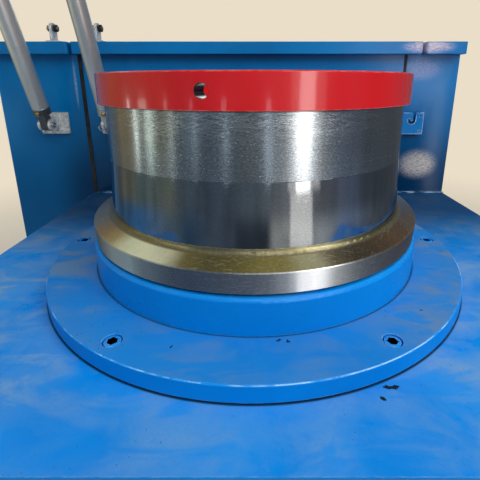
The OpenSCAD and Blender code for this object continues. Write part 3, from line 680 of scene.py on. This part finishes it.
flangeLook = {
    # degrees round from the front, and the tone of the film or of the bare rim there, with painted reflections and
    # highlights
    "film": [(-150, 150, 146, 128), (-75, 150, 152, 146), (-62, 160, 146, 120), (-52, 190, 146, 88),
             (-44, 206, 180, 112), (-37, 248, 248, 206), (-25, 252, 254, 222), (-19, 136, 128, 74), (-12, 100, 92, 42),
             (2, 134, 122, 46), (8, 126, 114, 48), (13, 156, 152, 112), (18, 156, 152, 118), (23, 92, 80, 52),
             (29, 66, 56, 40), (37, 92, 68, 44), (48, 124, 88, 54), (62, 112, 84, 58), (85, 112, 108, 98),
             (150, 150, 146, 128)],
    "rimReflections": [(-150, 140, 140, 136), (-60, 140, 138, 132), (-42, 196, 204, 198), (-32, 188, 196, 192),
                 (-22, 118, 124, 130), (4, 118, 122, 128), (9, 160, 162, 162), (12, 250, 248, 242),
                 (17, 250, 246, 238), (22, 164, 162, 156), (28, 126, 126, 120), (46, 150, 124, 96),
                 (60, 176, 136, 96), (150, 140, 140, 136)],
    "rim": tone(104, 106, 108),
    "silver": tone(206, 198, 166),
    "root": (0.298, 0.3015),  # radii between which the hollow root ends
    "rootTone": tone(134, 126, 92),
    "worn": tone(226, 224, 212),
    "scratch": tone(220, 214, 196),
    "glint": tone(220, 218, 208),
    "grainLight": tone(228, 226, 208),
    "grainDark": tone(52, 48, 38),
    "pitch": 1100.0,
    "rough": 0.33,
    "rimRough": 0.22,
}


def makeFlangeSteel(look):  # the cone has a warm film of drawing soap and oil, the rim is bare; both carry painted reflections and highlights laid out by degrees round
    material, surface = newMaterial("flangeSteel")
    upward = facingUp()
    angle, radius = unrolled()[3:]
    streak = effect("streaks", "Shade", Scale=7.0)
    lines = effect("turning", "Shade", Pitch=look["pitch"])
    shifted = more(angle, times(less(streak, 0.5), 0.2))
    patches = ramp(noise(objectPlace(), 9.0, 4.0), 0.5, 0.75, 0.0, 0.22)
    rooted = ramp(radius, *look["root"], 1.0, 0.0)  # the hollow up to the drum keeps the film, darker
    # the film's tint, with painted reflections and highlights by degrees round
    film = layered(zonesRound(shifted, look["film"]), (patches, look["silver"]), (times(lines, 0.12), look["silver"]),
                   (rooted, look["rootTone"]))
    # the bare rim, with painted reflections by degrees round
    bare = blendTone(ramp(streak, 0.3, 0.6, 0.25, 1.0), look["rim"], zonesRound(shifted, look["rimReflections"]))
    grain = brushedGrain()
    colour = layered(
        bare,
        (calc("MAXIMUM", ramp(upward, 0.55, 0.9), rooted), film),
        (effect("edgeWear", "Mask", Width=0.0016, Amount=0.9, Scale=90.0), look["worn"]),
        (times(effect("scratches", "Mask", Slope=0.2, Level=0.64), 0.35), look["scratch"]),
        (ramp(effect("speckle", "Shade"), 0.56, 0.74, 0.0, 0.3), look["glint"]),
        (ramp(grain, 0.48, 0.76, 0.0, 0.18), look["grainLight"]),
        (ramp(grain, 0.26, 0.5, 0.2, 0.0), look["grainDark"]),
    )
    rough = more(times(lines, 0.14), look["rough"] - 0.05)
    rough = more(rough, ramp(upward, 0.0, 0.5, look["rimRough"], 0.0))
    depth = more(effect("turning", "Height", Pitch=look["pitch"]), times(grain, 0.3))
    bump = bumped(0.3, 0.0002, depth)
    feed(surface, {"Base Color": colour, "Roughness": rough, "Metallic": ramp(upward, 0.2, 0.8, 1.0, 0.8),
                   "Anisotropic": 0.8, "Anisotropic Rotation": 0.25, "Normal": bump})
    return material


def makeGrime():  # darker blue inside a socket, a painted shade of the recess, with grease
    material, surface = newMaterial("socketShadeAndGrease")
    place = objectPlace()
    caked = ramp(noise(place, 260.0, 4.0), 0.35, 0.7)
    rough = ramp(noise(place, 400.0, 2.0), 0.2, 0.8, 0.5, 0.85)
    colour = blendTone(caked, tone(14, 58, 102), tone(26, 92, 150))
    feed(surface, {"Base Color": colour, "Roughness": rough, "Normal": bumped(0.4, 0.0004, caked)})
    return material


zincLook = {
    "dark": tone(184, 188, 188),
    "light": tone(236, 238, 236),
    "stain": tone(120, 116, 104),
    "worn": tone(224, 226, 224),
    "metallic": 0.55,
}


def makeZinc(look):  # spangled, slightly dull
    material, surface = newMaterial("zincPlating")
    place = objectPlace()
    spangle = put("ShaderNodeTexVoronoi", {"Vector": place, "Scale": 260.0}).outputs["Color"]
    grey = put("ShaderNodeRGBToBW", {0: spangle}).outputs[0]
    colour = blendTone(ramp(grey, 0.1, 0.9), look["dark"], look["light"])
    stain = ramp(noise(place, 30.0, 5.0, 0.65), 0.5, 0.75, 0.0, 0.7)
    colour = layered(colour, (stain, look["stain"]), (effect("edgeWear", "Mask", Width=0.001), look["worn"]))
    rough = ramp(noise(place, 80.0, 3.0), 0.2, 0.8, 0.3, 0.5)
    bump = bumped(0.12, 0.0003, grey)
    feed(surface, {"Base Color": colour, "Roughness": rough, "Metallic": look["metallic"], "Normal": bump})
    return material


def makeRubber():
    material, surface = newMaterial("sealRubber")
    place = objectPlace()
    dusty = ramp(noise(place, 40.0, 5.0, 0.65), 0.4, 0.75)
    rough = ramp(noise(place, 90.0, 2.0), 0.2, 0.8, 0.6, 0.85)
    bump = bumped(0.3, 0.0004, noise(place, 500.0, 2.0))
    feed(surface, {"Base Color": blendTone(dusty, tone(10, 10, 12), tone(40, 39, 38)),
                   "Roughness": rough, "Normal": bump})
    return material


finishes = {name: makeEnamel(name, look) for name, look in enamels.items()}
finishes.update({name: makeSteel(name, look) for name, look in metals.items()})
finishes["flangeSteel"] = makeFlangeSteel(flangeLook)
finishes["zincPlating"] = makeZinc(zincLook)
finishes["sealRubber"] = makeRubber()
finishes["socketShadeAndGrease"] = makeGrime()
print("materials made")

slotFinishes = {
    "blue_paint": "shadedWallEnamel",
    "deck_paint": "deckEnamel",
    "plate_paint": "plateEnamel",
    "ring_paint": "ringEnamel",
    "red_paint": "redEnamel",
    "turned_steel": "turnedBand",
    "polished_steel": "polishedBand",
    "flange_steel": "flangeSteel",
    "machined_iron": "machinedCasting",
    "zinc_plate": "zincPlating",
    "bright_pin": "brightPin",
    "satin_tube": "satinTube",
    "cap_metal": "capMetal",
    "rod_chrome": "rodChrome",
    "seal_rubber": "sealRubber",
}
nodeFinishes = {  # nodes that look unlike the others of their slot
    "rear_wall_panel": "shadedRearWallEnamel",
    "left_wall_panel": "shadedRearWallEnamel",
    "right_wall_panel": "shadedRearWallEnamel",
    "slotted_bracket": "bracketEnamel",
    "cylinder_ends_a": "satinTube",
}
nodeSlots = {}


def finishOf(name):
    return nodeFinishes.get(name) or slotFinishes[nodeSlots[name]]


def finishNodes():
    for name, node in frame["nodes"].items():
        for slot in node.material_slots:
            nodeSlots[name] = slot.material.name.split(".")[0]
            slot.material = finishes[finishOf(name)]


finishNodes()
print("nodes finished")


def addMesh(work, name, materials, smoothAngle=None):
    mesh = bpy.data.meshes.new(name)
    work.to_mesh(mesh)
    work.free()
    for material in materials:
        mesh.materials.append(material)
    if smoothAngle:
        mesh.shade_smooth()
        mesh.set_sharp_from_angle(angle=math.radians(smoothAngle))
    piece = bpy.data.objects.new(name, mesh)
    bpy.context.scene.collection.objects.link(piece)
    return piece


def setPiece(work, name, body, slotName, *finishNames):
    bmesh.ops.remove_doubles(work, verts=work.verts, dist=0.000002)
    bmesh.ops.recalc_face_normals(work, faces=work.faces)
    piece = addMesh(work, name, [finishes[finishName] for finishName in finishNames], 35)
    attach(piece, body)
    return piece


def moveAdded(work, count, matrix):  # moves what was added since the mesh had that many vertices
    work.verts.ensure_lookup_table()
    bmesh.ops.transform(work, matrix=matrix, verts=work.verts[count:])


def edgesOf(verts):
    return list({edge for vert in verts for edge in vert.link_edges if all(v in verts for v in edge.verts)})


def pullEdges(work, edges, rise, size=1.0):  # draws a loop up or down and closes or opens it
    drawn = bmesh.ops.extrude_edge_only(work, edges=edges)["geom"]
    verts = [item for item in drawn if isinstance(item, bmesh.types.BMVert)]
    bmesh.ops.translate(work, verts=verts, vec=(0, 0, rise))
    bmesh.ops.scale(work, verts=verts, vec=(size, size, 1), space=Matrix.Identity(4))
    return [item for item in drawn if isinstance(item, bmesh.types.BMEdge) and all(v in verts for v in item.verts)]


def addRound(work, sides, radius, capped=True):
    return bmesh.ops.create_circle(work, cap_ends=capped, segments=sides, radius=radius)["verts"]


def addDisc(work, sides, radius, low, height, chamfer, size):  # its top edge is drawn in over a share of the height
    outline = addRound(work, sides, radius)
    bmesh.ops.translate(work, verts=outline, vec=(0, 0, low))
    loop = pullEdges(work, edgesOf(outline), height * (1 - chamfer))
    loop = pullEdges(work, loop, height * chamfer, size)
    bmesh.ops.edgeloop_fill(work, edges=loop)


def addCapScrew(work, look, matrix):  # a round head with a hexagon socket, painted shade and grease inside
    count = len(work.verts)
    radius, height, edge = look["head"] / 2, look["height"], look["edge"]
    loop = pullEdges(work, edgesOf(addRound(work, 36, radius)), height - edge)
    loop = pullEdges(work, loop, edge * 0.7, 1 - 0.35 * edge / radius)
    loop = pullEdges(work, loop, edge * 0.3, 1 - edge / radius)
    outside = len(work.verts)
    hexagon = addRound(work, 6, look["socket"] / math.sqrt(3), False)
    bmesh.ops.translate(work, verts=hexagon, vec=(0, 0, height))
    bmesh.ops.subdivide_edges(work, edges=edgesOf(hexagon), cuts=5)
    work.verts.ensure_lookup_table()
    hexLoop = edgesOf(work.verts[outside:])
    bmesh.ops.bridge_loops(work, edges=loop + hexLoop)
    known = set(work.faces)
    inner = pullEdges(work, hexLoop, -look["depth"])
    bmesh.ops.edgeloop_fill(work, edges=inner)
    for face in work.faces:
        if face not in known:
            face.material_index = 1
    moveAdded(work, count, matrix)


def addHexHead(work, look, matrix):  # a hexagon head on a washer
    count = len(work.verts)
    addDisc(work, 32, look["washer"] / 2, 0, look["washerHeight"], 0.3, 0.96)
    addDisc(work, 6, look["across"] / math.sqrt(3), look["washerHeight"] * 0.8, look["height"], 0.14, 0.88)
    moveAdded(work, count, matrix)


def addTurned(work, outline, matrix, rounding=0.0, steps=96):  # a closed outline of radius and height, spun
    count = len(work.verts)
    corners = [work.verts.new((radius, 0, height)) for radius, height in outline]
    sides = [work.edges.new((corners[i - 1], corners[i])) for i in range(len(corners))]
    if rounding:
        rounded = bmesh.ops.bevel(work, geom=corners, offset=rounding, offset_type="OFFSET", segments=3, profile=0.5,
                                  affect="VERTICES", material=-1)
        corners = list(set(rounded["verts"]))
        sides = list({edge for vert in corners for edge in vert.link_edges})
    bmesh.ops.spin(work, geom=corners + sides, cent=(0, 0, 0), axis=(0, 0, 1), angle=2 * math.pi, steps=steps,
                   use_merge=True, use_duplicate=False)
    moveAdded(work, count, matrix)


def oblong(inner, outer, low, high):  # the outline of a plain ring or pin
    return [(inner, low), (outer, low), (outer, high), (inner, high)]


def turned(angle, axis):
    return Matrix.Rotation(math.radians(angle), 4, axis)


def standRound(look, height, first=0.0):  # where the screws of a circle stand, each turned on from the last
    for i in range(look["count"]):
        at = turned(360 * (i + first) / look["count"], "Z") @ Matrix.Translation((look["circle"], 0, height))
        yield at @ turned(look["turn"] * i, "Z")


core = 0.0001  # how near a turned outline comes to its axis
joints = frame["record"]["behaviour"]["joints"]
plateScrewLook = {
    "count": 6,
    "circle": 0.390,  # radius of the screws' circle
    "turn": 17,  # degrees by which each socket is turned on from the last
    "head": 0.024,
    "height": 0.016,
    "edge": 0.0016,
    "socket": 0.014,
    "depth": 0.009,
    "sunk": 0.017,
    "shank": 0.0068,
    "shankEnd": 0.710,
    "shankEdge": 0.001,
    "under": 0.0002,
}


def makePlateScrews(look):
    work = bmesh.new()
    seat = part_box("mounting_plate")[1].z - look["sunk"]
    shank, edge, low = look["shank"], look["shankEdge"], look["shankEnd"] - seat
    outline = [(core, low), (shank - edge, low), (shank, low + edge), (shank, -look["under"]), (core, -look["under"])]
    for at in standRound(look, seat):
        addCapScrew(work, look, at)
        addTurned(work, outline, at, steps=32)
    return setPiece(work, "plateScrews", "machine", "plate_paint", "screwEnamel", "socketShadeAndGrease")


makePlateScrews(plateScrewLook)

bracketBoltLook = {
    "across": 0.010,
    "height": 0.0055,
    "washer": 0.014,
    "washerHeight": 0.0014,
    "fromSide": 0.0075,
    "fromTop": 0.0085,
    "base": 0.008,  # depth of the bracket's base, which the bolts stand on
    "turn": 11,
}


def makeBracketBolts(look):
    work = bmesh.new()
    for name in ("cylinder_bracket_a", "cylinder_bracket_b"):
        low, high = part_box(name)
        for x in (low.x + look["fromSide"], high.x - look["fromSide"]):
            for z in (low.z + look["fromTop"], high.z - look["fromTop"]):
                at = Matrix.Translation((x, high.y - look["base"], z))
                addHexHead(work, look, at @ turned(90, "X") @ turned(look["turn"], "Z"))
    return setPiece(work, "bracketBolts", "machine", "zinc_plate", "zincPlating")


makeBracketBolts(bracketBoltLook)

pinRingLook = {
    "ring": 0.0085,  # radius along the wire
    "wire": 0.0013,
    "steps": 28,
    "beside": 0.0275,  # from the middle of the bracket
    "before": 0.002,
    "below": 0.0095,
    "turn": 24,
}


def makePinRings(look):  # a spring ring through the end of each pivot pin
    work = bmesh.new()
    around = [i * math.pi / 6 for i in range(12)]
    wire = [(look["ring"] + look["wire"] * math.cos(angle), look["wire"] * math.sin(angle)) for angle in around]
    for name, side in (("cylinder_bracket_a", -1), ("cylinder_bracket_b", 1)):
        low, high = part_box(name)
        middle = (low + high) / 2
        place = (middle.x + side * look["beside"], joints[1]["pos_m"][1] - look["before"], middle.z - look["below"])
        at = Matrix.Translation(place) @ turned(90, "X") @ turned(side * look["turn"], "Y")
        addTurned(work, wire, at, steps=look["steps"])
    return setPiece(work, "pinRings", "machine", "bright_pin", "brightPin")


makePinRings(pinRingLook)

capScrewLook = {
    "count": 8,
    "circle": 0.068,
    "turn": 23,
    "head": 0.016,
    "height": 0.010,
    "edge": 0.001,
    "socket": 0.010,
    "depth": 0.006,
}


def makeHubScrews(look):
    work = bmesh.new()
    for at in standRound(look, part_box("hub_cap")[1].z, 0.5):
        addCapScrew(work, look, at)
    return setPiece(work, "hubScrews", "drum", "turned_steel", "capMetal", "socketShadeAndGrease")


makeHubScrews(capScrewLook)

coverScrewLook = {
    "head": 0.012,
    "height": 0.0025,
    "edge": 0.0008,
    "socket": 0.006,
    "depth": 0.0018,
    "margin": 0.014,
    "sunk": 0.002,  # at the front
    "columns": 5,
    "rows": (4, 6),  # on the front cover, and on each rear one
    "rearWide": 0.61,
    "rearMiddle": 0.335,
}


def addScrewFrame(work, look, corner, wide, tall, rows, facing):  # screws along the four edges of a cover
    columns, margin = look["columns"], look["margin"]
    for i in range(columns):
        for j in range(rows):
            if i in (0, columns - 1) or j in (0, rows - 1):
                across = margin + (wide - 2 * margin) * i / (columns - 1)
                up = margin + (tall - 2 * margin) * j / (rows - 1)
                at = Matrix.Translation(corner + Vector((across, 0, up))) @ turned(facing, "X")
                addCapScrew(work, look, at @ turned(31 * i + 7 * j, "Z"))


def makeCoverScrews(look):
    work = bmesh.new()
    low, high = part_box("front_access_cover")
    corner = Vector((low.x, low.y + look["sunk"], low.z))
    addScrewFrame(work, look, corner, high.x - low.x, high.z - low.z, look["rows"][0], 90)
    low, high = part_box("rear_covers")
    for side in (-1, 1):
        left = (low.x + high.x) / 2 + side * look["rearMiddle"] - look["rearWide"] / 2
        addScrewFrame(work, look, Vector((left, high.y, low.z)), look["rearWide"], high.z - low.z, look["rows"][1], -90)
    return setPiece(work, "coverScrews", "machine", "zinc_plate", "zincPlating", "socketShadeAndGrease")


makeCoverScrews(coverScrewLook)

cylinderLook = {
    "lean": 20.5,  # degrees towards the front
    "tube": 0.024,
    "capLow": 0.038,
    "capHeight": 0.020,
    "tubeLength": 0.360,
    "ringHeight": 0.0024,
    "ring": (-0.0005, 0.0016),  # from the tube's wall, inwards and outwards
    "plugOut": 0.0006,
    "rod": 0.010,
    "rodFree": 0.028,
    "nutDown": 0.001,
    "wiper": [(0.0004, 0.0), (0.0055, 0.0), (0.0045, 0.003), (0.0004, 0.0042)],  # out from the rod, and up
}
plugLook = {"across": 0.012, "height": 0.005, "washer": 0.015, "washerHeight": 0.0015}
nutLook = {"across": 0.030, "height": 0.009, "washer": 0.029, "washerHeight": 0.0015}


def makeCylinderTrim(look, letter, joint):
    tubeLow = look["capLow"] + look["capHeight"]
    tubeHigh = tubeLow + look["tubeLength"]
    capHigh = tubeHigh + look["capHeight"]
    at = Matrix.Translation(joint["pos_m"]) @ turned(look["lean"], "X")
    rings, plugs, wiper, nut = (bmesh.new() for piece in range(4))
    inner, outer = (look["tube"] + reach for reach in look["ring"])
    for z in (tubeLow, tubeHigh - look["ringHeight"]):
        addTurned(rings, oblong(inner, outer, z, z + look["ringHeight"]), at, 0.0004, 64)
    setPiece(rings, "tubeRings_" + letter, "cylinder_" + letter, "satin_tube", "brightPin")
    for z in (look["capLow"] + look["capHeight"] / 2, tubeHigh + look["capHeight"] / 2):
        addHexHead(plugs, plugLook, at @ Matrix.Translation((0, -look["tube"] - look["plugOut"], z)) @ turned(90, "X"))
    setPiece(plugs, "portPlugs_" + letter, "cylinder_" + letter, "cap_metal", "brassBush")
    addTurned(wiper, [(look["rod"] + out, capHigh + up) for out, up in look["wiper"]], at, 0.0003, 48)
    setPiece(wiper, "rodWiper_" + letter, "cylinder_" + letter, "seal_rubber", "sealRubber")
    addHexHead(nut, nutLook, at @ Matrix.Translation((0, 0, capHigh + look["rodFree"] - look["nutDown"])))
    setPiece(nut, "rodNut_" + letter, "rod_" + letter, "zinc_plate", "zincPlating")


makeCylinderTrim(cylinderLook, "a", joints[1])
makeCylinderTrim(cylinderLook, "b", joints[3])

hingePinLook = {
    "fromEnd": 0.02,
    "fromTop": 0.017,
    "radius": 0.0058,
    "half": 0.017,
    "lug": 0.0045,  # half the thickness of a lug
    "knob": 0.011,
    "knobLength": 0.012,
    "bush": 0.0095,
    "bushLength": 0.010,
    "fit": 0.0002,
}


def makeHingePins(look):
    pins, knobs, bushes = bmesh.new(), bmesh.new(), bmesh.new()
    low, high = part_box("hinge_lugs")
    pin, lug = look["radius"], look["lug"]
    for x in (low.x + look["fromEnd"], high.x - look["fromEnd"]):
        at = Matrix.Translation((x, (low.y + high.y) / 2, high.z - look["fromTop"])) @ turned(90, "Y")
        addTurned(pins, oblong(core, pin, -look["half"], look["half"]), at, 0.0008, 40)
        addTurned(knobs, oblong(core, look["knob"], lug, lug + look["knobLength"]), at, 0.003, 40)
        addTurned(bushes, oblong(pin - look["fit"], look["bush"], -lug - look["bushLength"], -lug), at, 0.001, 40)
    setPiece(pins, "hingePins", "machine", "bright_pin", "brightPin")
    setPiece(knobs, "hingeKnobs", "machine", "seal_rubber", "sealRubber")
    setPiece(bushes, "hingeBushes", "machine", "bright_pin", "brassBush")


makeHingePins(hingePinLook)
print("small pieces made")

softEdges = {
    # node: how far its edges are rounded, in metres
    "slotted_bracket": 0.0009,
    "main_rail": 0.0012,
    "left_rail": 0.0012,
    "right_rail": 0.0012,
    "rear_wall_panel": 0.0012,
    "left_wall_panel": 0.0012,
    "right_wall_panel": 0.0012,
    "cylinder_bracket_a": 0.0008,
    "cylinder_bracket_b": 0.0008,
    "hinge_lugs": 0.0008,
    "mounting_plate": 0.0006,
    "deck_plate": 0.0015,
    "bed_front_panel": 0.0012,
    "front_access_cover": 0.0008,
    "cabinet_top": 0.0012,
    "cabinet_rear_panel": 0.001,
    "rear_covers": 0.0008,
    "anchor_lugs": 0.0012,
}


def softenNode(name, width):  # the same sheet or plate with its edges rounded, so that they catch the light
    node = frame["nodes"][name]
    work = bmesh.new()
    work.from_mesh(node.data)
    bmesh.ops.remove_doubles(work, verts=work.verts, dist=0.00001)
    bmesh.ops.dissolve_limit(work, angle_limit=math.radians(0.5), verts=work.verts, edges=work.edges)
    piece = addMesh(work, name + "_soft", [finishes[finishOf(name)]], 30)
    rounding = piece.modifiers.new("roundedEdges", "BEVEL")
    rounding.width = width
    rounding.segments = 2
    rounding.limit_method = "ANGLE"
    rounding.angle_limit = math.radians(38)
    rounding.harden_normals = True
    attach(piece, node["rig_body"])
    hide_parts(name)


for nodeName, width in softEdges.items():
    softenNode(nodeName, width)
print("edges rounded")

floorLook = {
    "reach": 9,
    "dark": tone(224, 215, 198),
    "light": tone(229, 220, 203),
    "rough": 0.8,
    "haze": (1.3, 4.5),  # how far from the middle it starts, and where it is full
}


def makeFloor(look):
    work = bmesh.new()
    bmesh.ops.create_grid(work, x_segments=1, y_segments=1, size=look["reach"])
    material, surface = newMaterial("paleFloor")
    place = objectPlace()
    colour = blendTone(noise(place, 2.0, 3.0), look["dark"], look["light"])
    feed(surface, {"Base Color": colour, "Roughness": look["rough"]})
    hidden = times(ramp(vectors("LENGTH", place)["Value"], *look["haze"]), seenByRays())
    haze = put("ShaderNodeEmission", {"Color": worldSettings["background"], "Strength": 1.0})
    mix = put("ShaderNodeMixShader", {0: hidden, 1: surface.outputs[0], 2: haze.outputs[0]})
    feed(drawn["tree"].nodes["Material Output"], {"Surface": mix.outputs[0]})
    addMesh(work, "studioFloor", [material])


curtainSettings = {
    "radius": 3.2,
    "top": 3.0,
    "inner": 1.2,  # where it starts, just above the floor
    "low": 0.012,
    # degrees round from the front, and the tone of the cloth there
    "wall": [(-140, 84, 106, 128), (-118, 100, 112, 122), (-110, 152, 138, 110), (-94, 156, 142, 112),
             (-88, 140, 140, 120), (-60, 156, 157, 138), (-50, 122, 134, 142), (-29, 108, 119, 132),
             (-3, 130, 140, 146), (16, 146, 152, 160), (48, 128, 133, 142), (68, 120, 127, 140), (84, 92, 97, 104),
             (125, 86, 92, 99)],
    "floor": [(-140, 70, 112, 150), (-116, 80, 110, 132), (-88, 100, 146, 180), (-68, 138, 158, 176),
              (-58, 126, 146, 152), (-46, 82, 114, 142), (-30, 108, 122, 136), (-14, 104, 114, 126), (-11, 80, 88, 98),
              (9, 82, 90, 98), (12, 206, 206, 202), (50, 196, 204, 210), (66, 150, 162, 182), (96, 110, 116, 124),
              (126, 70, 82, 98)],
}


def makeCurtain(look):  # grey cloth all round and above that only shows in gloss
    work = bmesh.new()
    radius, low, top = look["radius"], look["low"], look["top"]
    outline = [(look["inner"], low), (radius, low), (radius, top), (0, top)]
    corners = [work.verts.new((away, 0, height)) for away, height in outline]
    sides = [work.edges.new((corners[i], corners[i + 1])) for i in range(len(corners) - 1)]
    bmesh.ops.spin(work, geom=corners + sides, cent=(0, 0, 0), axis=(0, 0, 1), angle=2 * math.pi, steps=64,
                   use_merge=True)
    bmesh.ops.remove_doubles(work, verts=work.verts, dist=0.0001)
    material = bpy.data.materials.new("greyCurtain")
    emptyTree(material)
    z, angle = unrolled()[2:4]
    hung = zonesRound(angle, look["wall"])
    colour = blendTone(ramp(z, 0.0, 0.2), zonesRound(angle, look["floor"]), hung)
    folds = noise(stretch(objectPlace(), (1.0, 1.0, 0.25)), 1.8, 4.0, 0.6)
    glow = put("ShaderNodeEmission", {"Color": colour, "Strength": ramp(folds, 0.3, 0.7, 0.8, 1.2)})
    put("ShaderNodeOutputMaterial", {"Surface": glow.outputs[0]})
    curtain = addMesh(work, "greyCurtain", [material])
    for kind in ("camera", "diffuse", "transmission", "volume_scatter", "shadow"):
        setattr(curtain, "visible_" + kind, False)


makeFloor(floorLook)
makeCurtain(curtainSettings)
print("floor and curtain set")
